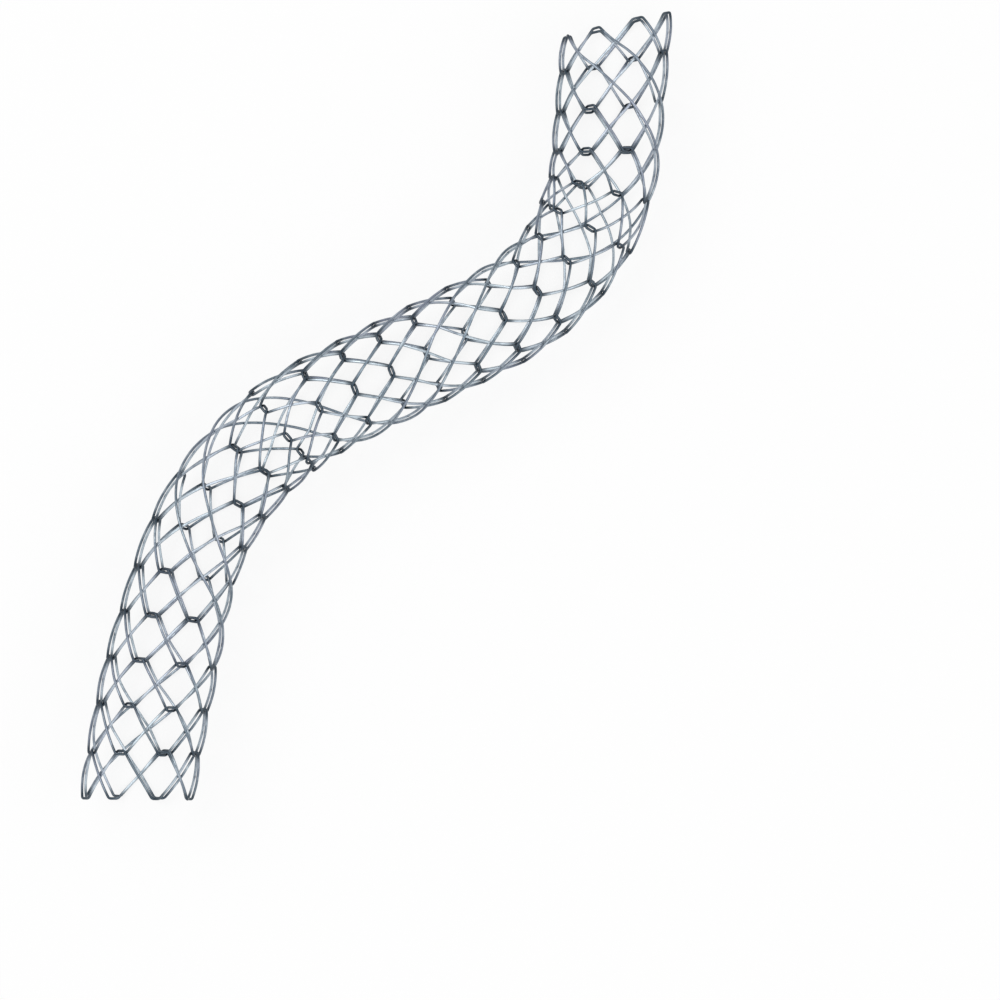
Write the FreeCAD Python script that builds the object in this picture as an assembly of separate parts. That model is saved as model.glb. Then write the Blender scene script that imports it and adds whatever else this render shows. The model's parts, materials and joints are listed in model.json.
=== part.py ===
# Biliary stent: a bare, springy tube woven from two bent wires, lying in a gentle S.
# Millimetres. X runs to the right, Y from the lower end towards the upper end, and Z up
# from the table that the stent lies on. The origin is under the middle of its box.
import FreeCAD, Part
import math
import os

# Wire
WIRE_DIAMETER = 0.25
WIRE_SIDES = 6  # flats that stand for the round of the wire, corners on its surface
CROSSING_GAP = 0.045  # clear space where one strand lies over another

# Tube, measured over the wires
BODY_DIAMETER = 9.7
LOWER_END_DIAMETER = 10.8
UPPER_END_DIAMETER = 10.3
FLARE_LENGTH = 10.0  # how far each end keeps its own diameter
FLARE_BLEND = 14.0  # and over how much more it narrows to the body

# Centre line from the lower end to the upper end, as lines and arcs. A turn is in
# degrees, and is to the right where it is negative.
LOWER_END_HEADING = 81.9  # degrees from +X
LOWER_LEG_LENGTH = 20.7
LOWER_LEG_TURN = -7.2
LOWER_BEND_LENGTH = 22.4
LOWER_BEND_TURN = -48.5
SLOPE_LENGTH = 16.6
UPPER_BEND_LENGTH = 19.8
UPPER_BEND_TURN = 59.0
UPPER_LEG_LENGTH = 12.1

# Weave
TIPS_PER_WIRE = 4  # bends of one wire along one edge of one ring
WIRES = 2  # the second fills the places that the first leaves free
HOOK_WIDTH = 0.82  # flat part of each bend, around the tube
HOOK_OVERLAP = 0.32  # how far two hooked bends reach past each other
FIRST_BEND_ANGLE = -113.0  # degrees round from the top of the tube at the lower end
SLOPE_WEAVE_TURN = -21.0  # how far the weave is turned by the time it reaches the slope
SLOPE_WEAVE_TURN_START = 32.3  # distance from the lower end
SLOPE_WEAVE_TURN_LENGTH = 10.0
UPPER_WEAVE_TURN = 21.5  # and how far back again on the way to the upper leg
UPPER_WEAVE_TURN_START = 70.0
UPPER_WEAVE_TURN_LENGTH = 8.0

# Rings of cells from the lower end up, as a number of rings and the length of each. They
# are shorter where the tube was bent. They are fitted to the tube's length together.
RING_GROUPS = (
    (4, 4.29),
    (6, 4.13),
    (3, 3.72),
    (4, 3.95),
    (3, 3.65),
    (2, 4.17),
    (1, 3.48),
)

# Lean of the rings in the plane of the S, in degrees. Where it is positive, the right
# side of a ring lies nearer to the upper end than its left side.
LOWER_LEAN = 7.0
SLOPE_LEAN = -4.5
UPPER_LEAN = 18.0
LOWER_LEAN_END = 30.0  # distance from the lower end at which the lean starts to change
LOWER_LEAN_BLEND = 16.0  # and over how much of the tube it changes
UPPER_LEAN_START = 69.0  # the same where it changes back
UPPER_LEAN_BLEND = 23.0

STRETCHES = (
    (LOWER_LEG_LENGTH, LOWER_LEG_TURN),
    (LOWER_BEND_LENGTH, LOWER_BEND_TURN),
    (SLOPE_LENGTH, 0.0),
    (UPPER_BEND_LENGTH, UPPER_BEND_TURN),
    (UPPER_LEG_LENGTH, 0.0),
)
TUBE_LENGTH = sum(length for length, turn in STRETCHES)
RING_LENGTHS = [length for count, length in RING_GROUPS for ring in range(count)]
RINGS = len(RING_LENGTHS)
STRAND_DEPTH = WIRE_DIAMETER + CROSSING_GAP  # from an outer strand in to an inner one
COLUMNS = 2 * WIRES * TIPS_PER_WIRE  # places around the tube, bends and crossings in turn
WIRE_NAMES = ("first_wire", "second_wire")
OUTER = 0.0
INNER = STRAND_DEPTH


def ease(share):
    """Smooth step from 0 to 1."""
    share = min(max(share, 0.0), 1.0)
    return share * share * (3.0 - 2.0 * share)


def centre_line(station):
    """X, Y and heading in radians of the tube's centre line, which goes on past both ends."""
    x = y = 0.0
    heading = math.radians(LOWER_END_HEADING)
    left = station
    for number, (length, turn) in enumerate(STRETCHES, start=1):
        run = left if number == len(STRETCHES) else min(left, length)
        swing = math.radians(turn) * run / length
        chord = run if swing == 0 else run * math.sin(swing / 2) / (swing / 2)
        x += chord * math.cos(heading + swing / 2)
        y += chord * math.sin(heading + swing / 2)
        heading += swing
        left -= run
    return x, y, heading


def tube_radius(station):
    """Radius over the wires, with a slight flare towards each end."""
    lower = 1.0 - ease((station - FLARE_LENGTH) / FLARE_BLEND)
    upper = 1.0 - ease((TUBE_LENGTH - station - FLARE_LENGTH) / FLARE_BLEND)
    wider = (LOWER_END_DIAMETER - BODY_DIAMETER) * lower + (UPPER_END_DIAMETER - BODY_DIAMETER) * upper
    return (BODY_DIAMETER + wider) / 2


def ring_lean(station):
    """Slope of a ring against the square of the tube."""
    onto_slope = ease((station - LOWER_LEAN_END) / LOWER_LEAN_BLEND)
    off_slope = ease((station - UPPER_LEAN_START) / UPPER_LEAN_BLEND)
    lean = LOWER_LEAN + (SLOPE_LEAN - LOWER_LEAN) * onto_slope + (UPPER_LEAN - SLOPE_LEAN) * off_slope
    return math.tan(math.radians(lean))


def place(station, angle, depth):
    """Point on a wire's own centre line, by its place along, around and into the tube.

    The angle runs clockwise from the top, seen along the tube from its lower end. The
    underside of the tube stays on the table, however wide the tube is.
    """
    outside = tube_radius(station)
    reach = outside - WIRE_DIAMETER / 2 - depth
    side = reach * math.sin(angle)
    x, y, heading = centre_line(station + ring_lean(station) * side)
    return FreeCAD.Vector(
        x + side * math.sin(heading),
        y - side * math.cos(heading),
        outside + reach * math.cos(angle),
    )


def row_station(row):
    """Distance of a row of bends from the lower end."""
    usable = TUBE_LENGTH - WIRE_DIAMETER
    return WIRE_DIAMETER / 2 + usable * sum(RING_LENGTHS[:row]) / sum(RING_LENGTHS)


def column_angle(column, station):
    """Angle round the tube of one column of the weave, in radians."""
    turned = SLOPE_WEAVE_TURN * ease((station - SLOPE_WEAVE_TURN_START) / SLOPE_WEAVE_TURN_LENGTH)
    turned += UPPER_WEAVE_TURN * ease((station - UPPER_WEAVE_TURN_START) / UPPER_WEAVE_TURN_LENGTH)
    return math.radians(FIRST_BEND_ANGLE + turned + 360.0 * column / COLUMNS)


def stretch(station, angle):
    """Real length of a millimetre of the tube at one angle, where the tube was bent."""
    return place(station + 0.5, angle, 0.0).distanceToPoint(place(station - 0.5, angle, 0.0))


def tip(row, column, side, arriving_outside):
    """Two corners of a bend, in the order in which the wire passes them.

    Side is -1 for a ring's lower bends and 1 for its upper ones. A strand that leans to the
    left as it rises lies outside, and one that leans to the right lies inside, so a bend
    takes the wire from one layer to the other.
    """
    station = row_station(row)
    if 0 < row < RINGS:
        reach = HOOK_OVERLAP / 2 / stretch(station, column_angle(column, station))
        station += side * reach
    half = HOOK_WIDTH / 2 / (tube_radius(station) - WIRE_DIAMETER / 2)
    angle = column_angle(column, station)
    outer = place(station, angle + side * half, OUTER)
    inner = place(station, angle - side * half, INNER)
    return [outer, inner] if arriving_outside else [inner, outer]


def crossing(ring, column, depth):
    """Middle of a strand, where it meets the other wire's strand."""
    station = (row_station(ring) + row_station(ring + 1)) / 2
    return place(station, column_angle(column, station), depth)


def wire_route(wire):
    """Corners of one closed wire, in order.

    The wire first climbs the whole tube as one plain helix. It then comes back down, and
    goes once around the tube in each ring in a zigzag, whose bends hook into the bends of
    the ring above.
    """
    first = 2 * wire
    points = []
    for ring in range(RINGS):
        column = first - 2 * ring
        if ring:
            station = row_station(ring)
            points.append(place(station, column_angle(column, station), OUTER))
        points.append(crossing(ring, column - 1, OUTER))
    points += tip(RINGS, first - 2 * RINGS, 1, True)
    for ring in reversed(range(RINGS)):
        column = first - 2 * (ring + 1)
        for bend in range(TIPS_PER_WIRE):
            points.append(crossing(ring, column - 1, INNER))
            column -= 2
            if bend < TIPS_PER_WIRE - 1:
                points += tip(ring, column, -1, False)
                points.append(crossing(ring, column - 1, OUTER))
                column -= 2
                points += tip(ring + 1, column, 1, True)
    points += tip(0, first, -1, False)
    return points


def mitre(corner, before, after, ring):
    """Carries a ring of points along a run to the plane that halves the next corner."""
    normal = before + after
    return [p + before * ((corner - p).dot(normal) / before.dot(normal)) for p in ring]


def first_section(corner, before, after):
    """Section of the wire in the plane that halves its first corner."""
    across = after.cross(FreeCAD.Vector(0, 0, 1)).normalize()
    up = after.cross(across)
    turns = [2 * math.pi * i / WIRE_SIDES for i in range(WIRE_SIDES)]
    square = [corner + (across * math.cos(t) + up * math.sin(t)) * (WIRE_DIAMETER / 2) for t in turns]
    return mitre(corner, after, before, square)


def skin(near, far):
    """Side faces of one straight run between its two end sections."""
    faces = []
    for i in range(WIRE_SIDES):
        a, b = near[i - 1], near[i]
        c, d = far[i], far[i - 1]
        flat = abs((b - a).cross(d - a).dot(c - a)) < 1e-9
        loops = [(a, b, c, d)] if flat else [(a, b, c), (a, c, d)]
        faces += [Part.Face(Part.makePolygon([*loop, loop[0]])) for loop in loops]
    return faces


def bent_wire(points):
    """Solid closed wire with a mitred corner at each point."""
    count = len(points)
    runs = [(points[(i + 1) % count] - points[i]).normalize() for i in range(count)]
    sections = [first_section(points[0], runs[-1], runs[0])]
    for i in range(1, count + 1):
        sections.append(mitre(points[i % count], runs[i - 1], runs[i % count], sections[-1]))
    # The section comes back turned about the wire. The last run takes up the difference.
    start, back = sections[0], sections.pop()
    shift = min(
        range(WIRE_SIDES),
        key=lambda s: sum(back[i].distanceToPoint(start[(i + s) % WIRE_SIDES]) for i in range(WIRE_SIDES)),
    )
    sections.append([start[(i + shift) % WIRE_SIDES] for i in range(WIRE_SIDES)])
    faces = [face for near, far in zip(sections, sections[1:]) for face in skin(near, far)]
    shell = Part.makeShell(faces)
    shell.sewShape()
    solid = Part.makeSolid(Part.Shell(shell.Faces))
    if solid.Volume < 0:
        solid.reverse()
    return solid


def main():
    os.makedirs("parts", exist_ok=True)
    routes = [wire_route(wire) for wire in range(WIRES)]
    wires = [bent_wire(route) for route in routes]
    box = Part.makeCompound(wires).BoundBox
    home = FreeCAD.Vector(-box.Center.x, -box.Center.y, -box.ZMin)
    for name, route, solid in zip(WIRE_NAMES, routes, wires):
        solid.translate(home)
        solid.exportStep(f"parts/{name}.step")
        length = sum(p.distanceToPoint(route[i - 1]) for i, p in enumerate(route))
        print(f"{name}: {len(route)} corners, {length:.1f} mm long, {solid.Volume:.3f} mm3")
    print(f"box {box.XLength:.3f} x {box.YLength:.3f} x {box.ZLength:.3f} mm")
    for name, station in (("lower end", 0.0), ("upper end", TUBE_LENGTH)):
        x, y, heading = centre_line(station)
        middle = FreeCAD.Vector(x, y, tube_radius(station)) + home
        place_text = f"{middle.x:.3f}, {middle.y:.3f}, {middle.z:.3f}"
        print(f"{name}: centre {place_text}, heading {math.degrees(heading):.2f}")


main()
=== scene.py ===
"""Biliary stent: a bare tube woven from two springy wires, lying on a table in a gentle S.

Everything is in metres in the model's own frame: X to the right, Y from the lower end
towards the upper end, and Z up from the table. Sizes are written in millimetres, and MM
turns them into metres. The weave is first laid out flat, by the distance along the tube and
the distance around it. A Geometry Nodes tree then rounds its bends, wraps it around the bent
tube and gives it the round section of the wire.
"""
from __future__ import annotations

import json
import logging
import math
from dataclasses import dataclass
from enum import Enum
from typing import Any

import bpy
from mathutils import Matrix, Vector

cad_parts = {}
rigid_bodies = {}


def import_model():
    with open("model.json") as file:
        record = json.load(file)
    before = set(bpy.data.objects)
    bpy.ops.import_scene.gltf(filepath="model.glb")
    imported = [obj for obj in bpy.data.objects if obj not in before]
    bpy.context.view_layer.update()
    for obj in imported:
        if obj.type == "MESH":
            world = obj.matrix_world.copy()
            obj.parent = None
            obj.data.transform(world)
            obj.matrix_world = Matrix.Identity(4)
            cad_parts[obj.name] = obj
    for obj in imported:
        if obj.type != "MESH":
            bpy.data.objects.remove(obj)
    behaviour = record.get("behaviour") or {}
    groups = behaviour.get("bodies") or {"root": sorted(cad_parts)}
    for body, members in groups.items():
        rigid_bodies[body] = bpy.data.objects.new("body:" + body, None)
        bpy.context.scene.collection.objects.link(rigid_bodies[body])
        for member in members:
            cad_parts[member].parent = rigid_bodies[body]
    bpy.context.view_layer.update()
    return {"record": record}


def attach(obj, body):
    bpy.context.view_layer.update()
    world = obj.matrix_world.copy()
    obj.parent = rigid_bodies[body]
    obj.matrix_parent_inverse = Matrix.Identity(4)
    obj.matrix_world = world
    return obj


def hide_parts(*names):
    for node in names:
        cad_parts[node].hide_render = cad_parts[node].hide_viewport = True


MM = 0.001
BODY = "root"
WHITE = (1.0, 1.0, 1.0, 1.0)
NOISE_MIDDLE = (0.5, 0.5, 0.5)
log = logging.getLogger("stent")


def linear(code: str) -> tuple[float, float, float, float]:
    """Turns an sRGB hex colour into linear values.

    Args:
        code: Colour such as "#3c4a54".

    Returns:
        Red, green, blue and an alpha of 1.
    """
    parts = [int(code[i : i + 2], 16) / 255 for i in (1, 3, 5)]
    red, green, blue = (p / 12.92 if p <= 0.04045 else ((p + 0.055) / 1.055) ** 2.4 for p in parts)
    return red, green, blue, 1.0


def add_node(
    tree: bpy.types.NodeTree, kind: str, inputs: dict | None = None, **settings: Any
) -> bpy.types.Node:
    """Adds a node with its settings, values and links.

    Args:
        tree: Tree that gets the node.
        kind: Blender's name of the node's type.
        inputs: A value or another node's output for each input, by name or place.
        settings: Properties of the node.

    Returns:
        The new node.
    """
    node = tree.nodes.new(kind)
    for name, value in settings.items():
        setattr(node, name, value)
    for key, value in (inputs or {}).items():
        if isinstance(value, bpy.types.NodeSocket):
            tree.links.new(value, node.inputs[key])
        else:
            node.inputs[key].default_value = value
    return node


def seen_directly(tree: bpy.types.NodeTree) -> bpy.types.NodeSocket:
    """Adds the nodes that tell what is looked at from what only lights the stent.

    Args:
        tree: Tree that gets the nodes.

    Returns:
        1 for what the camera sees, also in metal or through glass, and 0 for plain light.
    """
    path = add_node(tree, "ShaderNodeLightPath").outputs
    seen = path["Is Camera Ray"]
    for ray in ("Is Glossy Ray", "Is Transmission Ray"):
        seen = add_node(tree, "ShaderNodeMath", {0: seen, 1: path[ray]}, operation="MAXIMUM").outputs[0]
    return seen


def ease(share: float) -> float:
    """Smooth step from 0 to 1."""
    share = min(max(share, 0.0), 1.0)
    return share * share * (3.0 - 2.0 * share)


class Layer(Enum):
    """Layer of the weave in which a strand lies, with its depth under the outer one in mm."""

    OUTER = 0.0
    INNER = 0.295


class Edge(Enum):
    """Edge of a ring of cells on which a bend lies."""

    LOWER = -1
    UPPER = 1


@dataclass(frozen=True)
class Cover:
    """How much of a layer of the finish shows, by the strength of the pattern that carries it."""

    low: float  # strength at which it starts to show
    high: float  # strength at which it is at its fullest
    most: float = 1.0  # share that shows there

    @property
    def inputs(self) -> dict[str, float]:
        """The same, as the inputs of a Map Range node."""
        return {"From Min": self.low, "From Max": self.high, "To Max": self.most}


@dataclass(frozen=True)
class HeatSetWire:
    """Drawn nickel-titanium wire with the thin dark oxide that heat setting leaves.

    Satin metal: blue-grey in reflected white, with painted shade that darkens the bends and
    the outer strands, lighter where the oxide is rubbed, with fine draw lines along it.
    """

    name: str = "heat_set_nickel_titanium"
    oxide: str = "#b0bbc3"
    # thick oxide in random patches, and also painted shade on the outer strands
    thick_oxide_and_shade: str = "#65727d"
    rubbed: str = "#c6d0d6"
    warm_tint: str = "#8f92a4"
    # painted shade at the bends, where the hooking wires overlap
    bend_painted_shade: str = "#2a3640"
    roughness: tuple[float, float] = (0.27, 0.43)
    wire_radius: float = 0.125  # mm
    draw_line: float = 0.02  # mm. Real ones are about a third of this, too fine to show.
    draw_line_stretch: float = 120.0  # times as long as wide
    draw_line_depth: float = 0.004  # mm
    draw_line_bump: float = 0.25
    patch: float = 1.6  # mm, size of the patches of thicker and thinner oxide
    tint_patch: float = 7.0  # mm
    rub: float = 0.35  # mm, width of a rubbed spot
    rub_stretch: float = 3.0  # times as long as wide
    outer_strand_shade: float = 0.24  # painted shade: how much darker the outer strands are made, for how the light falls on them
    thick_oxide_and_shade_cover: Cover = Cover(0.47, 0.75)
    tint_cover: Cover = Cover(0.42, 0.7, 0.55)
    rub_cover: Cover = Cover(0.55, 0.72, 0.7)
    draw_line_cover: Cover = Cover(0.5, 0.75, 0.35)
    bend_shade_cover: Cover = Cover(0.5, 0.95, 0.85)

    def material(self) -> bpy.types.Material:
        """Builds the finish.

        Returns:
            The material, which reads the wire's own attributes.
        """
        made = bpy.data.materials.new(self.name)
        made.use_nodes = True
        tree = made.node_tree
        tree.nodes.clear()
        along = add_node(tree, "ShaderNodeAttribute", attribute_name="along").outputs["Fac"]
        section = add_node(tree, "ShaderNodeAttribute", attribute_name="section").outputs["Vector"]
        bend = add_node(tree, "ShaderNodeAttribute", attribute_name="bend").outputs["Fac"]
        outside = add_node(tree, "ShaderNodeAttribute", attribute_name="outside").outputs["Fac"]
        place = add_node(tree, "ShaderNodeTexCoord").outputs["Object"]

        around = add_node(
            tree, "ShaderNodeVectorMath", {0: section, "Scale": self.wire_radius * MM}, operation="SCALE"
        )
        lines = add_node(
            tree,
            "ShaderNodeTexNoise",
            {
                "Vector": self.drawn_out(tree, around, along, self.draw_line_stretch),
                "Scale": 1 / (self.draw_line * MM),
                "Detail": 3.0,
                "Roughness": 0.6,
            },
        )
        rubs = add_node(
            tree,
            "ShaderNodeTexNoise",
            {
                "Vector": self.drawn_out(tree, around, along, self.rub_stretch),
                "Scale": 1 / (self.rub * MM),
                "Detail": 5.0,
                "Roughness": 0.65,
            },
        )
        patches = add_node(
            tree,
            "ShaderNodeTexNoise",
            {"Vector": place, "Scale": 1 / (self.patch * MM), "Detail": 4.0, "Roughness": 0.6},
        )
        tints = add_node(
            tree,
            "ShaderNodeTexNoise",
            {"Vector": place, "Scale": 1 / (self.tint_patch * MM), "Detail": 2.0},
        )

        # Painted shade: the outer strands get more of the thick oxide colour, for their darker look under
        # the lamps. The patches themselves are random oxide.
        depth = add_node(
            tree,
            "ShaderNodeMath",
            {0: outside, 1: self.outer_strand_shade, 2: patches.outputs["Fac"]},
            operation="MULTIPLY_ADD",
        )
        oxide_and_shade_share = add_node(
            tree, "ShaderNodeMapRange", {"Value": depth.outputs[0], **self.thick_oxide_and_shade_cover.inputs}
        )
        tinted = add_node(
            tree, "ShaderNodeMapRange", {"Value": tints.outputs["Fac"], **self.tint_cover.inputs}
        )
        shine = add_node(
            tree, "ShaderNodeMapRange", {"Value": rubs.outputs["Fac"], **self.rub_cover.inputs}
        )
        streak = add_node(
            tree, "ShaderNodeMapRange", {"Value": lines.outputs["Fac"], **self.draw_line_cover.inputs}
        )
        worn = add_node(
            tree, "ShaderNodeMath", {0: shine.outputs[0], 1: streak.outputs[0]}, operation="MAXIMUM"
        )
        # Painted shade: the bends are darkened, for the overlap shadows at the hooks.
        dark = add_node(
            tree,
            "ShaderNodeMapRange",
            {"Value": bend, **self.bend_shade_cover.inputs},
            interpolation_type="SMOOTHSTEP",
        )
        covers = (
            (oxide_and_shade_share, self.thick_oxide_and_shade),
            (tinted, self.warm_tint),
            (worn, self.rubbed),
            (dark, self.bend_painted_shade),
        )
        colour = linear(self.oxide)
        for share, code in covers:
            mixed = add_node(
                tree,
                "ShaderNodeMix",
                {"Factor": share.outputs[0], 6: colour, 7: linear(code)},
                data_type="RGBA",
            )
            colour = mixed.outputs[2]
        smooth, rough = self.roughness
        roughness = add_node(
            tree, "ShaderNodeMapRange", {"Value": rubs.outputs["Fac"], "To Min": rough, "To Max": smooth}
        )
        bump = add_node(
            tree,
            "ShaderNodeBump",
            {
                "Strength": self.draw_line_bump,
                "Distance": self.draw_line_depth * MM,
                "Height": lines.outputs["Fac"],
            },
        )
        shader = add_node(
            tree,
            "ShaderNodeBsdfPrincipled",
            {
                "Base Color": colour,
                "Metallic": 1.0,
                "Roughness": roughness.outputs[0],
                "Normal": bump.outputs[0],
            },
        )
        add_node(tree, "ShaderNodeOutputMaterial", {"Surface": shader.outputs[0]})
        return made

    def drawn_out(
        self,
        tree: bpy.types.NodeTree,
        around: bpy.types.Node,
        along: bpy.types.NodeSocket,
        stretch: float,
    ) -> bpy.types.NodeSocket:
        """Adds coordinates on the wire's surface, for a pattern that is stretched along it.

        Args:
            tree: Tree that gets the nodes.
            around: The place on the wire's section.
            along: The distance along the wire.
            stretch: Times that the pattern is as long as wide.

        Returns:
            The coordinates.
        """
        shorter = add_node(tree, "ShaderNodeMath", {0: along, 1: 1 / stretch}, operation="MULTIPLY")
        onward = add_node(tree, "ShaderNodeCombineXYZ", {"Z": shorter.outputs[0]})
        place = add_node(
            tree, "ShaderNodeVectorMath", {0: around.outputs[0], 1: onward.outputs[0]}, operation="ADD"
        )
        return place.outputs[0]


@dataclass(frozen=True)
class WhiteTable:
    """Matt white lacquered board, so plain that only the soft shadow shows on it."""

    name: str = "white_table"
    colour: str = "#ffffff"
    own_light: float = 0.8  # share of the white that the camera and the metal see anyway

    def material(self) -> bpy.types.Material:
        """Builds the finish.

        Returns:
            The material.
        """
        made = bpy.data.materials.new(self.name)
        made.use_nodes = True
        tree = made.node_tree
        tree.nodes.clear()
        board = add_node(tree, "ShaderNodeBsdfDiffuse", {"Color": linear(self.colour)})
        glow = add_node(tree, "ShaderNodeEmission", {"Color": WHITE, "Strength": 1.0})
        share = add_node(
            tree, "ShaderNodeMath", {0: seen_directly(tree), 1: self.own_light}, operation="MULTIPLY"
        )
        mixed = add_node(
            tree, "ShaderNodeMixShader", {0: share.outputs[0], 1: board.outputs[0], 2: glow.outputs[0]}
        )
        add_node(tree, "ShaderNodeOutputMaterial", {"Surface": mixed.outputs[0]})
        return made


@dataclass(frozen=True)
class Stretch:
    """Part of the tube's centre line that is straight or one arc."""

    length: float  # mm
    turn: float  # degrees, to the right where it is negative


@dataclass
class Tube:
    """The bent tube on whose surface the wires lie. Lengths in mm, measured over the wires."""

    start: Vector  # centre of the lower end, in the model's frame
    heading: float = 81.9  # degrees from +X
    stretches: tuple[Stretch, ...] = (
        Stretch(20.7, -7.2),
        Stretch(22.4, -48.5),
        Stretch(16.6, 0.0),
        Stretch(19.8, 59.0),
        Stretch(12.1, 0.0),
    )
    body_diameter: float = 9.7
    lower_end_diameter: float = 10.8
    upper_end_diameter: float = 10.3
    flare_length: float = 10.0
    flare_blend: float = 14.0
    lower_lean: float = 7.0  # degrees, lean of the rings in the plane of the S
    slope_lean: float = -4.5
    upper_lean: float = 18.0
    lower_lean_end: float = 30.0
    lower_lean_blend: float = 16.0
    upper_lean_start: float = 69.0
    upper_lean_blend: float = 23.0
    overrun: float = 3.0  # how far the line goes on past both ends, for the leaning rings
    line_step: float = 0.5

    @property
    def length(self) -> float:
        """Length of the centre line in mm."""
        return sum(stretch.length for stretch in self.stretches)

    def lean(self, station: float) -> float:
        """Slope of a ring against the square of the tube, in the plane of the S.

        Args:
            station: Distance from the lower end in mm.

        Returns:
            The tangent of the lean.
        """
        onto_slope = ease((station - self.lower_lean_end) / self.lower_lean_blend)
        off_slope = ease((station - self.upper_lean_start) / self.upper_lean_blend)
        lean = self.lower_lean + (self.slope_lean - self.lower_lean) * onto_slope
        return math.tan(math.radians(lean + (self.upper_lean - self.slope_lean) * off_slope))

    def line_at(self, station: float) -> tuple[Vector, float]:
        """Finds a place on the centre line.

        Args:
            station: Distance from the lower end in mm.

        Returns:
            The point on the table in metres, and the heading there in radians.
        """
        x = y = 0.0
        heading = math.radians(self.heading)
        left = station
        for stretch in self.stretches:
            last = stretch is self.stretches[-1]
            run = left if last else min(left, stretch.length)
            swing = math.radians(stretch.turn) * run / stretch.length
            chord = run if swing == 0 else run * math.sin(swing / 2) / (swing / 2)
            x += chord * math.cos(heading + swing / 2)
            y += chord * math.sin(heading + swing / 2)
            heading += swing
            left -= run
        return Vector((self.start.x + x * MM, self.start.y + y * MM, 0.0)), heading

    def beside_line(self, station: float, side: float) -> Vector:
        """Point on a leaning ring, to the right of the line by a distance in mm."""
        place, heading = self.line_at(station + self.lean(station) * side)
        return place + Vector((math.sin(heading), -math.cos(heading), 0.0)) * side * MM

    def line_curve(self) -> bpy.types.Object:
        """Makes the centre line as a curve that the tree samples by its length.

        Returns:
            The curve object, which is removed once the wires are made.
        """
        count = round((self.length + 2 * self.overrun) / self.line_step)
        curve = bpy.data.curves.new("centre_line", "CURVE")
        curve.dimensions = "3D"
        spline = curve.splines.new("POLY")
        spline.points.add(count)
        for number, point in enumerate(spline.points):
            place, _ = self.line_at(number * self.line_step - self.overrun)
            point.co = (*place, 1.0)
        line = bpy.data.objects.new("centre_line", curve)
        bpy.context.scene.collection.objects.link(line)
        return line


@dataclass(frozen=True)
class Corner:
    """Corner of a wire's route on the unrolled tube, in mm and radians."""

    station: float
    angle: float
    layer: Layer
    bend: float  # 1 at the bends, 0 where the strand only passes another

    def turned_back(self, turns: int) -> Corner:
        """The same place on the tube, a number of whole turns further round."""
        return Corner(self.station, self.angle - 2 * math.pi * turns, self.layer, self.bend)


@dataclass(frozen=True)
class WeaveTurn:
    """Part of the tube along which the weave is turned about the tube's own line."""

    start: float  # mm from the lower end
    length: float  # mm
    turn: float  # degrees, clockwise seen from the lower end


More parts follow.
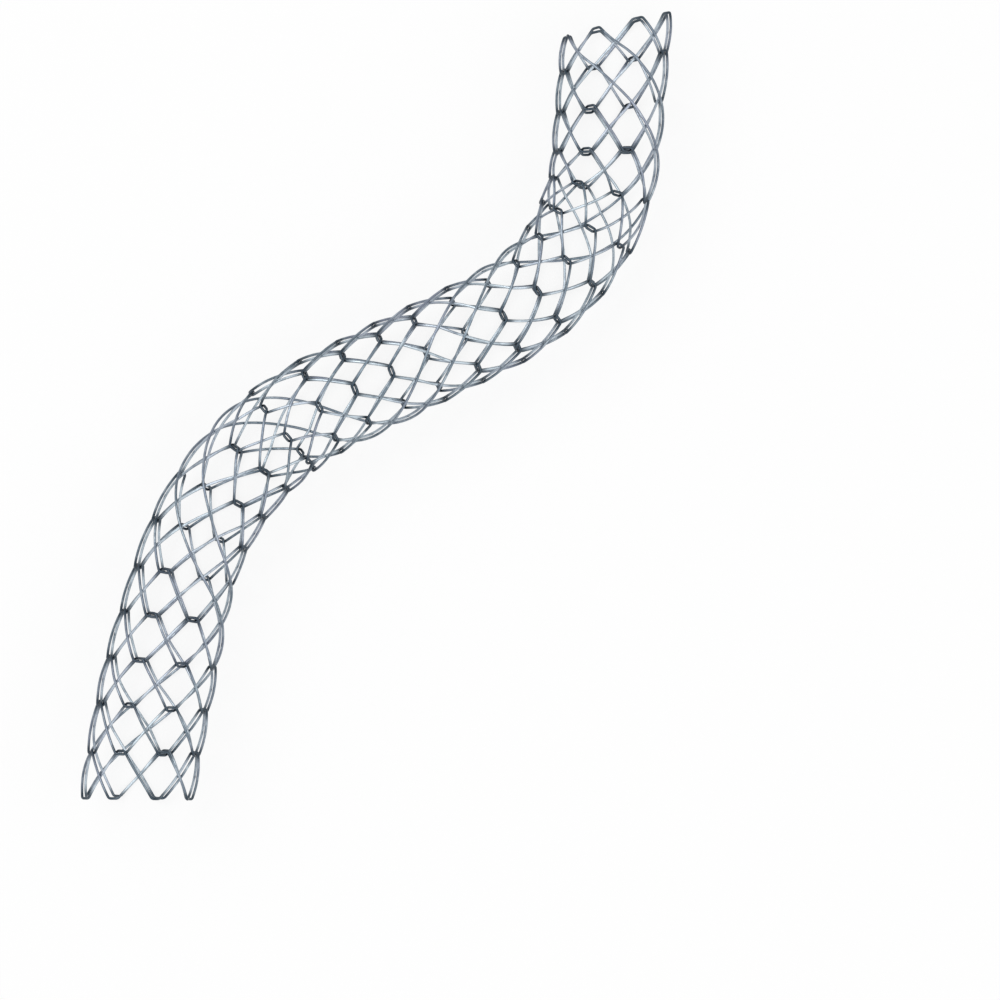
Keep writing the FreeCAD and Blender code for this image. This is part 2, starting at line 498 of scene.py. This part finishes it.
@dataclass
class Weave:
    """Layout of the weave: rings of cells whose bends hook into the bends of the next ring."""

    tube: Tube
    wire_diameter: float = 0.25
    bends_per_wire: int = 4
    wires: int = 2
    hook_width: float = 0.82
    hook_overlap: float = 0.32
    first_bend_angle: float = -113.0
    turns: tuple[WeaveTurn, ...] = (WeaveTurn(32.3, 10.0, -21.0), WeaveTurn(70.0, 8.0, 21.5))
    ring_groups: tuple[tuple[int, float], ...] = (
        (4, 4.29),
        (6, 4.13),
        (3, 3.72),
        (4, 3.95),
        (3, 3.65),
        (2, 4.17),
        (1, 3.48),
    )  # rings of cells from the lower end up, and the length of each in mm

    @property
    def ring_lengths(self) -> list[float]:
        """Length of each ring in turn, before they are fitted to the tube together."""
        return [length for count, length in self.ring_groups for _ in range(count)]

    @property
    def rings(self) -> int:
        """Number of rings of cells."""
        return len(self.ring_lengths)

    @property
    def columns(self) -> int:
        """Places around the tube, bends and crossings in turn."""
        return 2 * self.wires * self.bends_per_wire

    @property
    def flat_radius(self) -> float:
        """Radius at which the distance around the tube is laid out flat."""
        return (self.tube.body_diameter - self.wire_diameter) / 2

    def radius(self, station: float) -> float:
        """Radius of the tube over the wires, wider in the two flares.

        Args:
            station: Distance from the lower end in mm.

        Returns:
            The radius in mm.
        """
        tube = self.tube
        lower = 1.0 - ease((station - tube.flare_length) / tube.flare_blend)
        upper = 1.0 - ease((tube.length - station - tube.flare_length) / tube.flare_blend)
        wider = (tube.lower_end_diameter - tube.body_diameter) * lower
        wider += (tube.upper_end_diameter - tube.body_diameter) * upper
        return (tube.body_diameter + wider) / 2

    def row_station(self, row: int) -> float:
        """Finds a row of bends.

        Args:
            row: Row of bends, counted from the lower end.

        Returns:
            Its distance from the lower end in mm.
        """
        usable = self.tube.length - self.wire_diameter
        lengths = self.ring_lengths
        return self.wire_diameter / 2 + usable * sum(lengths[:row]) / sum(lengths)

    def angle(self, column: int, station: float) -> float:
        """Angle round the tube of one column of the weave, in radians."""
        turned = sum(part.turn * ease((station - part.start) / part.length) for part in self.turns)
        return math.radians(self.first_bend_angle + turned + 360.0 * column / self.columns)

    def stretch(self, station: float, angle: float) -> float:
        """Real length of the millimetre around a station, where the tube was bent.

        Args:
            station: Distance from the lower end in mm.
            angle: Angle round the tube in radians.

        Returns:
            The length in mm.
        """
        side = (self.radius(station) - self.wire_diameter / 2) * math.sin(angle)
        near, far = (self.tube.beside_line(station + half, side) for half in (-0.5, 0.5))
        return (far - near).length / MM

    def bend_station(self, row: int, column: int, edge: Edge) -> float:
        """Finds a bend that has hooked into the next one.

        Args:
            row: Row of bends, counted from the lower end.
            column: Column of the weave.
            edge: Edge of the ring that the bend is on.

        Returns:
            Its distance from the lower end in mm.
        """
        station = self.row_station(row)
        if row in (0, self.rings):
            return station
        reach = self.hook_overlap / 2 / self.stretch(station, self.angle(column, station))
        return station + edge.value * reach

    def bend(self, row: int, column: int, edge: Edge, arriving: Layer) -> list[Corner]:
        """Two corners of a bend, which takes the wire from one layer to the other.

        Args:
            row: Row of bends, counted from the lower end.
            column: Column of the weave.
            edge: Edge of the ring that the bend is on.
            arriving: Layer of the strand that comes first.

        Returns:
            The corners in the order in which the wire passes them.
        """
        station = self.bend_station(row, column, edge)
        half = self.hook_width / 2 / (self.radius(station) - self.wire_diameter / 2)
        middle = self.angle(column, station)
        outer = Corner(station, middle + edge.value * half, Layer.OUTER, 1.0)
        inner = Corner(station, middle - edge.value * half, Layer.INNER, 1.0)
        return [outer, inner] if arriving is Layer.OUTER else [inner, outer]

    def crossing(self, ring: int, column: int, layer: Layer) -> Corner:
        """Middle of a strand, where it passes the other wire's strand."""
        station = (self.row_station(ring) + self.row_station(ring + 1)) / 2
        return Corner(station, self.angle(column, station), layer, 0.0)

    def route(self, wire: int) -> list[Corner]:
        """Lays out one closed wire, with its angle running on from turn to turn.

        The wire climbs the whole tube as one plain helix. It comes back down in a zigzag,
        once around in each ring, and its bends hook into the bends of the ring above.

        Args:
            wire: Number of the wire, from 0.

        Returns:
            The corners. The last one is the first one's place, some whole turns further.
        """
        first = 2 * wire
        corners = []
        for ring in range(self.rings):
            column = first - 2 * ring
            if ring:
                station = self.row_station(ring)
                corners.append(Corner(station, self.angle(column, station), Layer.OUTER, 0.0))
            corners.append(self.crossing(ring, column - 1, Layer.OUTER))
        corners += self.bend(self.rings, first - 2 * self.rings, Edge.UPPER, Layer.OUTER)
        for turns, ring in enumerate(reversed(range(self.rings))):
            column = first - 2 * (ring + 1) - self.columns * turns
            for bend in range(self.bends_per_wire):
                corners.append(self.crossing(ring, column - 1, Layer.INNER))
                column -= 2
                if bend < self.bends_per_wire - 1:
                    corners += self.bend(ring, column, Edge.LOWER, Layer.INNER)
                    corners.append(self.crossing(ring, column - 1, Layer.OUTER))
                    column -= 2
                    corners += self.bend(ring + 1, column, Edge.UPPER, Layer.OUTER)
        corners += self.bend(0, first - self.columns * self.rings, Edge.LOWER, Layer.INNER)
        first_crossing, first_node = corners[0], corners[1]
        seam = Corner(
            (first_crossing.station + first_node.station) / 2,
            (first_crossing.angle + first_node.angle) / 2,
            Layer.OUTER,
            0.0,
        )
        around = self.rings
        return [seam, *corners[1:], first_crossing.turned_back(around), seam.turned_back(around)]

    def flat_chain(self, name: str, wire: int) -> bpy.types.Object:
        """Makes the flat route of one wire as a chain of edges.

        Args:
            name: Name of the object.
            wire: Number of the wire, from 0.

        Returns:
            The object, with X around the tube, Y along it and Z out of it.
        """
        corners = self.route(wire)
        places = [(c.angle * self.flat_radius * MM, c.station * MM, -c.layer.value * MM) for c in corners]
        mesh = bpy.data.meshes.new(name)
        mesh.from_pydata(places, [(i, i + 1) for i in range(len(places) - 1)], [])
        bends = mesh.attributes.new("bend", "FLOAT", "POINT")
        bends.data.foreach_set("value", [c.bend for c in corners])
        outside = mesh.attributes.new("outside", "FLOAT", "POINT")
        outside.data.foreach_set("value", [float(c.layer is Layer.OUTER) for c in corners])
        chain = bpy.data.objects.new(name, mesh)
        bpy.context.scene.collection.objects.link(chain)
        return chain


@dataclass
class WireForming:
    """The Geometry Nodes tree that rounds a flat route, wraps it and makes it a round wire."""

    tube: Tube
    weave: Weave
    bend_radius: float = 0.34  # mm, inside the weave's bends
    bend_steps: int = 6
    shortest_step: float = 0.04  # mm
    longest_step: float = 0.42  # mm, so that a strand follows the round of the tube
    sides: int = 14
    unevenness: float = 0.13  # mm, how far the hand-set weave strays
    unevenness_size: float = 6.5  # mm
    noise_gain: float = 4.0  # the noise itself strays by about a quarter from its middle
    seed: int = 7

    def sizes(self) -> dict[str, tuple[str, float]]:
        """Lists the tree's named inputs.

        Returns:
            Each input's socket type, and its value in metres where it is a length.
        """
        tube, weave = self.tube, self.weave
        lengths = {
            "Line overrun": tube.overrun,
            "Wire diameter": weave.wire_diameter,
            "Bend radius": self.bend_radius,
            "Shortest step": self.shortest_step,
            "Longest step": self.longest_step,
            "Flat radius": weave.flat_radius,
            "Body radius": tube.body_diameter / 2,
            "Lower flare": (tube.lower_end_diameter - tube.body_diameter) / 2,
            "Upper flare": (tube.upper_end_diameter - tube.body_diameter) / 2,
            "Lower flare start": tube.flare_length,
            "Lower flare end": tube.flare_length + tube.flare_blend,
            "Upper flare start": tube.length - tube.flare_length - tube.flare_blend,
            "Upper flare end": tube.length - tube.flare_length,
            "Lower lean end": tube.lower_lean_end,
            "Slope lean start": tube.lower_lean_end + tube.lower_lean_blend,
            "Slope lean end": tube.upper_lean_start,
            "Upper lean start": tube.upper_lean_start + tube.upper_lean_blend,
            "Unevenness": self.unevenness,
            "Unevenness size": self.unevenness_size,
        }
        named = {name: ("NodeSocketFloat", value * MM) for name, value in lengths.items()}
        named["Lower lean"] = ("NodeSocketFloat", math.tan(math.radians(tube.lower_lean)))
        named["Slope lean"] = ("NodeSocketFloat", math.tan(math.radians(tube.slope_lean)))
        named["Upper lean"] = ("NodeSocketFloat", math.tan(math.radians(tube.upper_lean)))
        named["Bend steps"] = ("NodeSocketInt", self.bend_steps)
        named["Sides"] = ("NodeSocketInt", self.sides)
        named["Seed"] = ("NodeSocketFloat", float(self.seed))
        return named

    def tree(self) -> bpy.types.NodeTree:
        """Builds the tree.

        Returns:
            The tree, with one named input for each size.
        """
        tree = bpy.data.node_groups.new("wrapped_wire", "GeometryNodeTree")
        face = tree.interface
        face.new_socket("Geometry", in_out="OUTPUT", socket_type="NodeSocketGeometry")
        face.new_socket("Geometry", in_out="INPUT", socket_type="NodeSocketGeometry")
        face.new_socket("Centre line", in_out="INPUT", socket_type="NodeSocketObject")
        face.new_socket("Finish", in_out="INPUT", socket_type="NodeSocketMaterial")
        for name, (kind, _) in self.sizes().items():
            face.new_socket(name, in_out="INPUT", socket_type=kind)
        given = add_node(tree, "NodeGroupInput").outputs
        chain = self.rounded_chain(tree, given)
        wrapped = self.wrapped_chain(tree, given, chain)
        wire = self.swept_wire(tree, given, wrapped)
        whole = add_node(tree, "GeometryNodeRealizeInstances", {"Geometry": wire})
        dressed = add_node(
            tree, "GeometryNodeSetMaterial", {"Geometry": whole.outputs[0], "Material": given["Finish"]}
        )
        add_node(tree, "NodeGroupOutput", {"Geometry": dressed.outputs[0]})
        return tree

    def rounded_chain(self, tree: bpy.types.NodeTree, given: Any) -> bpy.types.NodeSocket:
        """Rounds the bends of the flat route and divides its long runs.

        Args:
            tree: Tree that gets the nodes.
            given: The tree's inputs.

        Returns:
            The flat curve.
        """
        curve = add_node(tree, "GeometryNodeMeshToCurve", {"Mesh": given["Geometry"]})
        rounded = add_node(
            tree,
            "GeometryNodeFilletCurve",
            {
                "Curve": curve.outputs[0],
                "Count": given["Bend steps"],
                "Radius": given["Bend radius"],
                "Limit Radius": True,
            },
            mode="POLY",
        )
        # A corner that hardly turns gives all of its points one place. One of them is kept.
        edges = add_node(tree, "GeometryNodeCurveToMesh", {"Curve": rounded.outputs[0]})
        single = add_node(
            tree,
            "GeometryNodeMergeByDistance",
            {"Geometry": edges.outputs[0], "Distance": given["Shortest step"]},
        )
        rounded = add_node(tree, "GeometryNodeMeshToCurve", {"Mesh": single.outputs[0]})
        here = add_node(tree, "GeometryNodeInputPosition").outputs[0]
        following = add_node(tree, "GeometryNodeOffsetPointInCurve", {"Offset": 1})
        there = add_node(
            tree,
            "GeometryNodeFieldAtIndex",
            {"Index": following.outputs["Point Index"], "Value": here},
            data_type="FLOAT_VECTOR",
            domain="POINT",
        )
        run = add_node(tree, "ShaderNodeVectorMath", {0: here, 1: there.outputs[0]}, operation="DISTANCE")
        share = add_node(
            tree, "ShaderNodeMath", {0: run.outputs["Value"], 1: given["Longest step"]}, operation="DIVIDE"
        )
        cuts = add_node(tree, "ShaderNodeMath", {0: share.outputs[0]}, operation="FLOOR")
        divided = add_node(
            tree, "GeometryNodeSubdivideCurve", {"Curve": rounded.outputs[0], "Cuts": cuts.outputs[0]}
        )
        return divided.outputs[0]

    def wrapped_chain(
        self, tree: bpy.types.NodeTree, given: Any, chain: bpy.types.NodeSocket
    ) -> bpy.types.NodeSocket:
        """Wraps the flat curve around the bent tube and closes it.

        Args:
            tree: Tree that gets the nodes.
            given: The tree's inputs.
            chain: The flat curve.

        Returns:
            The closed curve in the model's frame.
        """
        here = add_node(tree, "GeometryNodeInputPosition").outputs[0]
        flat = add_node(tree, "ShaderNodeSeparateXYZ", {0: here}).outputs
        plain_angle = add_node(
            tree, "ShaderNodeMath", {0: flat["X"], 1: given["Flat radius"]}, operation="DIVIDE"
        )
        # The unevenness depends on the place on the tube alone, so strands that pass each
        # other stray together and stay clear of each other.
        east = add_node(tree, "ShaderNodeMath", {0: plain_angle.outputs[0]}, operation="SINE")
        north = add_node(tree, "ShaderNodeMath", {0: plain_angle.outputs[0]}, operation="COSINE")
        around = add_node(tree, "ShaderNodeCombineXYZ", {"X": east.outputs[0], "Y": north.outputs[0]})
        around = add_node(
            tree,
            "ShaderNodeVectorMath",
            {0: around.outputs[0], "Scale": given["Flat radius"]},
            operation="SCALE",
        )
        along = add_node(tree, "ShaderNodeCombineXYZ", {"Z": flat["Y"]})
        spot = add_node(
            tree, "ShaderNodeVectorMath", {0: around.outputs[0], 1: along.outputs[0]}, operation="ADD"
        )
        fineness = add_node(
            tree, "ShaderNodeMath", {0: 1.0, 1: given["Unevenness size"]}, operation="DIVIDE"
        )
        noise = add_node(
            tree,
            "ShaderNodeTexNoise",
            {"Vector": spot.outputs[0], "W": given["Seed"], "Scale": fineness.outputs[0], "Detail": 1.0},
            noise_dimensions="4D",
        )
        stray = add_node(
            tree, "ShaderNodeVectorMath", {0: noise.outputs["Color"], 1: NOISE_MIDDLE}, operation="SUBTRACT"
        )
        gain = add_node(
            tree, "ShaderNodeMath", {0: given["Unevenness"], 1: self.noise_gain}, operation="MULTIPLY"
        )
        stray = add_node(
            tree, "ShaderNodeVectorMath", {0: stray.outputs[0], "Scale": gain.outputs[0]}, operation="SCALE"
        )
        stray_parts = add_node(tree, "ShaderNodeSeparateXYZ", {0: stray.outputs[0]}).outputs
        station = add_node(
            tree, "ShaderNodeMath", {0: flat["Y"], 1: stray_parts["Y"]}, operation="ADD"
        ).outputs[0]
        shifted = add_node(tree, "ShaderNodeMath", {0: flat["X"], 1: stray_parts["X"]}, operation="ADD")
        angle = add_node(
            tree, "ShaderNodeMath", {0: shifted.outputs[0], 1: given["Flat radius"]}, operation="DIVIDE"
        )

        radius = given["Body radius"]
        flares = (("Lower flare", 1.0, 0.0), ("Upper flare", 0.0, 1.0))
        for name, near, far in flares:
            share = add_node(
                tree,
                "ShaderNodeMapRange",
                {
                    "Value": station,
                    "From Min": given[name + " start"],
                    "From Max": given[name + " end"],
                    "To Min": near,
                    "To Max": far,
                },
                interpolation_type="SMOOTHSTEP",
            )
            wider = add_node(
                tree,
                "ShaderNodeMath",
                {0: share.outputs[0], 1: given[name], 2: radius},
                operation="MULTIPLY_ADD",
            )
            radius = wider.outputs[0]
        half_wire = add_node(
            tree, "ShaderNodeMath", {0: given["Wire diameter"], 1: 2.0}, operation="DIVIDE"
        )
        reach = add_node(
            tree, "ShaderNodeMath", {0: radius, 1: half_wire.outputs[0]}, operation="SUBTRACT"
        )
        reach = add_node(tree, "ShaderNodeMath", {0: reach.outputs[0], 1: flat["Z"]}, operation="ADD")
        sine = add_node(tree, "ShaderNodeMath", {0: angle.outputs[0]}, operation="SINE")
        cosine = add_node(tree, "ShaderNodeMath", {0: angle.outputs[0]}, operation="COSINE")
        side = add_node(
            tree, "ShaderNodeMath", {0: reach.outputs[0], 1: sine.outputs[0]}, operation="MULTIPLY"
        ).outputs[0]
        height = add_node(
            tree,
            "ShaderNodeMath",
            {0: reach.outputs[0], 1: cosine.outputs[0], 2: radius},
            operation="MULTIPLY_ADD",
        )

        lower = add_node(
            tree,
            "ShaderNodeMapRange",
            {
                "Value": station,
                "From Min": given["Lower lean end"],
                "From Max": given["Slope lean start"],
                "To Min": given["Lower lean"],
                "To Max": given["Slope lean"],
            },
            interpolation_type="SMOOTHSTEP",
        )
        change = add_node(
            tree, "ShaderNodeMath", {0: given["Upper lean"], 1: given["Slope lean"]}, operation="SUBTRACT"
        )
        upper = add_node(
            tree,
            "ShaderNodeMapRange",
            {
                "Value": station,
                "From Min": given["Slope lean end"],
                "From Max": given["Upper lean start"],
                "To Min": 0.0,
                "To Max": change.outputs[0],
            },
            interpolation_type="SMOOTHSTEP",
        )
        lean = add_node(
            tree, "ShaderNodeMath", {0: lower.outputs[0], 1: upper.outputs[0]}, operation="ADD"
        )
        leaned = add_node(
            tree, "ShaderNodeMath", {0: lean.outputs[0], 1: side, 2: station}, operation="MULTIPLY_ADD"
        )
        length = add_node(
            tree, "ShaderNodeMath", {0: leaned.outputs[0], 1: given["Line overrun"]}, operation="ADD"
        )
        line = add_node(tree, "GeometryNodeObjectInfo", {"Object": given["Centre line"]})
        sample = add_node(
            tree,
            "GeometryNodeSampleCurve",
            {"Curves": line.outputs["Geometry"], "Length": length.outputs[0]},
            mode="LENGTH",
            use_all_curves=True,
        )
        right = add_node(
            tree,
            "ShaderNodeVectorMath",
            {0: sample.outputs["Tangent"], 1: (0.0, 0.0, 1.0)},
            operation="CROSS_PRODUCT",
        )
        across = add_node(
            tree, "ShaderNodeVectorMath", {0: right.outputs[0], "Scale": side}, operation="SCALE"
        )
        up = add_node(tree, "ShaderNodeCombineXYZ", {"Z": height.outputs[0]})
        place = add_node(
            tree,
            "ShaderNodeVectorMath",
            {0: sample.outputs["Position"], 1: across.outputs[0]},
            operation="ADD",
        )
        place = add_node(
            tree, "ShaderNodeVectorMath", {0: place.outputs[0], 1: up.outputs[0]}, operation="ADD"
        )
        wrapped = add_node(
            tree, "GeometryNodeSetPosition", {"Geometry": chain, "Position": place.outputs[0]}
        )
        last = add_node(tree, "GeometryNodeCurveEndpointSelection", {"Start Size": 0, "End Size": 1})
        opened = add_node(
            tree,
            "GeometryNodeDeleteGeometry",
            {"Geometry": wrapped.outputs[0], "Selection": last.outputs[0]},
            domain="POINT",
        )
        closed = add_node(tree, "GeometryNodeSetSplineCyclic", {0: opened.outputs[0], "Cyclic": True})
        return closed.outputs[0]

    def swept_wire(
        self, tree: bpy.types.NodeTree, given: Any, wrapped: bpy.types.NodeSocket
    ) -> bpy.types.NodeSocket:
        """Gives the closed curve its round section, and keeps what the finish reads.

        Args:
            tree: Tree that gets the nodes.
            given: The tree's inputs.
            wrapped: The closed curve.

        Returns:
            The wire's surface.
        """
        travelled = add_node(tree, "GeometryNodeSplineParameter").outputs["Length"]
        measured = add_node(
            tree,
            "GeometryNodeStoreNamedAttribute",
            {"Geometry": wrapped, "Name": "along", "Value": travelled},
            data_type="FLOAT",
            domain="POINT",
        )
        half_wire = add_node(
            tree, "ShaderNodeMath", {0: given["Wire diameter"], 1: 2.0}, operation="DIVIDE"
        )
        ring = add_node(
            tree,
            "GeometryNodeCurvePrimitiveCircle",
            {"Resolution": given["Sides"], "Radius": half_wire.outputs[0]},
            mode="RADIUS",
        )
        here = add_node(tree, "GeometryNodeInputPosition").outputs[0]
        outward = add_node(tree, "ShaderNodeVectorMath", {0: here}, operation="NORMALIZE")
        marked = add_node(
            tree,
            "GeometryNodeStoreNamedAttribute",
            {"Geometry": ring.outputs[0], "Name": "section", "Value": outward.outputs[0]},
            data_type="FLOAT_VECTOR",
            domain="POINT",
        )
        swept = add_node(
            tree,
            "GeometryNodeCurveToMesh",
            {"Curve": measured.outputs[0], "Profile Curve": marked.outputs[0]},
        )
        smooth = add_node(
            tree, "GeometryNodeSetShadeSmooth", {"Geometry": swept.outputs[0], "Shade Smooth": True}
        )
        return smooth.outputs[0]


@dataclass
class WovenStent:
    """The stent: two closed wires that only cross each other."""

    tube: Tube
    weave: Weave
    forming: WireForming
    finish: HeatSetWire
    nodes: tuple[str, ...] = ("first_wire", "second_wire")
    slot: str = "wire"

    def build(self) -> list[bpy.types.Object]:
        """Makes both wires in place of their nodes.

        Returns:
            The finished pieces.
        """
        material = self.finish.material()
        line = self.tube.line_curve()
        tree = self.forming.tree()
        pieces = []
        for number, node in enumerate(self.nodes):
            chain = self.weave.flat_chain(node + "_route", number)
            mesh = self.formed_mesh(chain, line, tree, material)
            piece = bpy.data.objects.new("woven_" + node, mesh)
            bpy.context.scene.collection.objects.link(piece)
            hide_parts(node)
            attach(piece, BODY)
            pieces.append(piece)
            log.info("%s: %d faces", piece.name, len(mesh.polygons))
        bpy.data.objects.remove(line)
        bpy.data.node_groups.remove(tree)
        return pieces

    def formed_mesh(
        self,
        chain: bpy.types.Object,
        line: bpy.types.Object,
        tree: bpy.types.NodeTree,
        material: bpy.types.Material,
    ) -> bpy.types.Mesh:
        """Runs the tree on one flat route and keeps the result as a plain mesh.

        Args:
            chain: The flat route, which is removed.
            line: The tube's centre line.
            tree: The forming tree.
            material: The wire's finish.

        Returns:
            The wire's mesh.
        """
        modifier = chain.modifiers.new("forming", "NODES")
        modifier.node_group = tree
        values = {name: value for name, (_, value) in self.forming.sizes().items()}
        values["Centre line"] = line
        values["Finish"] = material
        for item in tree.interface.items_tree:
            if item.in_out == "INPUT" and item.name in values:
                modifier[item.identifier] = values[item.name]
        depsgraph = bpy.context.evaluated_depsgraph_get()
        mesh = bpy.data.meshes.new_from_object(chain.evaluated_get(depsgraph), depsgraph=depsgraph)
        mesh.name = chain.name.replace("_route", "_round")
        chain.modifiers.remove(modifier)
        flat = chain.data
        bpy.data.objects.remove(chain)
        bpy.data.meshes.remove(flat)
        return mesh


@dataclass(frozen=True)
class SoftLamp:
    """Square soft lamp that points at the middle of the stent."""

    name: str
    place: tuple[float, float, float]  # m
    power: float  # W


@dataclass
class Studio:
    """White table, soft lamps and the camera that looks down on the stent."""

    mouth: Vector  # centre of the stent's lower end
    view_centre: tuple[float, float] = (33.74, 27.77)  # mm from the lower end
    view_width: float = 92.94  # mm across the picture, at the height of the centre line
    focus_height: float = 5.3  # mm
    lens: float = 600.0  # mm. Long, so that the far wall lies under the near one.
    sensor_width: float = 36.0  # mm
    clip_start: float = 0.01  # m
    table_size: float = 1.6  # m
    lamp_size: float = 0.5  # m
    lamps: tuple[SoftLamp, ...] = (
        SoftLamp("key_lamp", (-0.35, 0.30, 0.62), 2.1),
        SoftLamp("fill_lamp", (0.45, -0.10, 0.55), 1.0),
        SoftLamp("front_lamp", (0.0, -0.55, 0.45), 0.8),
    )
    room_light: float = 0.5  # strength of the white room as a light
    room_white: float = 1.0  # and as the camera sees it

    def build(self) -> None:
        """Makes the table, the lamps, the world and the camera."""
        self.table()
        for lamp in self.lamps:
            self.hang(lamp)
        self.world()
        self.camera()

    def table(self) -> None:
        """Makes the table top."""
        half = self.table_size / 2
        mesh = bpy.data.meshes.new("table")
        corners = [(-half, -half, 0.0), (half, -half, 0.0), (half, half, 0.0), (-half, half, 0.0)]
        mesh.from_pydata(corners, [], [(0, 1, 2, 3)])
        mesh.materials.append(WhiteTable().material())
        top = bpy.data.objects.new("table", mesh)
        bpy.context.scene.collection.objects.link(top)

    def hang(self, lamp: SoftLamp) -> None:
        """Adds one lamp.

        Args:
            lamp: Its name, place and power.
        """
        data = bpy.data.lights.new(lamp.name, "AREA")
        data.size = self.lamp_size
        data.energy = lamp.power
        made = bpy.data.objects.new(lamp.name, data)
        made.location = lamp.place
        made.rotation_euler = (-Vector(lamp.place)).to_track_quat("-Z", "Y").to_euler()
        made.visible_camera = False
        bpy.context.scene.collection.objects.link(made)

    def world(self) -> None:
        """Makes even white surroundings, full white to the camera and in the metal."""
        world = bpy.data.worlds.new("white_room")
        world.use_nodes = True
        tree = world.node_tree
        tree.nodes.clear()
        strength = add_node(
            tree,
            "ShaderNodeMapRange",
            {"Value": seen_directly(tree), "To Min": self.room_light, "To Max": self.room_white},
        )
        sky = add_node(tree, "ShaderNodeBackground", {"Color": WHITE, "Strength": strength.outputs[0]})
        add_node(tree, "ShaderNodeOutputWorld", {"Surface": sky.outputs[0]})
        bpy.context.scene.world = world

    def camera(self) -> None:
        """Sets the camera straight above the picture's centre."""
        data = bpy.data.cameras.new("camera")
        data.lens = self.lens
        data.sensor_width = self.sensor_width
        data.clip_start = self.clip_start
        distance = self.view_width * self.lens / self.sensor_width
        camera = bpy.data.objects.new("camera", data)
        camera.location = (
            self.mouth.x + self.view_centre[0] * MM,
            self.mouth.y + self.view_centre[1] * MM,
            (self.focus_height + distance) * MM,
        )
        bpy.context.scene.collection.objects.link(camera)
        bpy.context.scene.camera = camera


def main() -> None:
    """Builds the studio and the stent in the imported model's frame."""
    logging.basicConfig(level=logging.INFO, format="%(name)s: %(message)s")
    for item in list(bpy.data.objects):
        bpy.data.objects.remove(item)
    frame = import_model()
    mounts = {mount["name"]: mount for mount in frame["record"]["mounts"]}
    mouth = Vector(mounts["lower_mouth"]["pos_m"])
    bpy.context.scene.view_settings.view_transform = "Standard"

    Studio(mouth).build()
    tube = Tube(mouth)
    weave = Weave(tube)
    stent = WovenStent(tube, weave, WireForming(tube, weave), HeatSetWire())
    for piece in stent.build():
        log.info("%s is in place", piece.name)


if __name__ == "__main__":
    main()
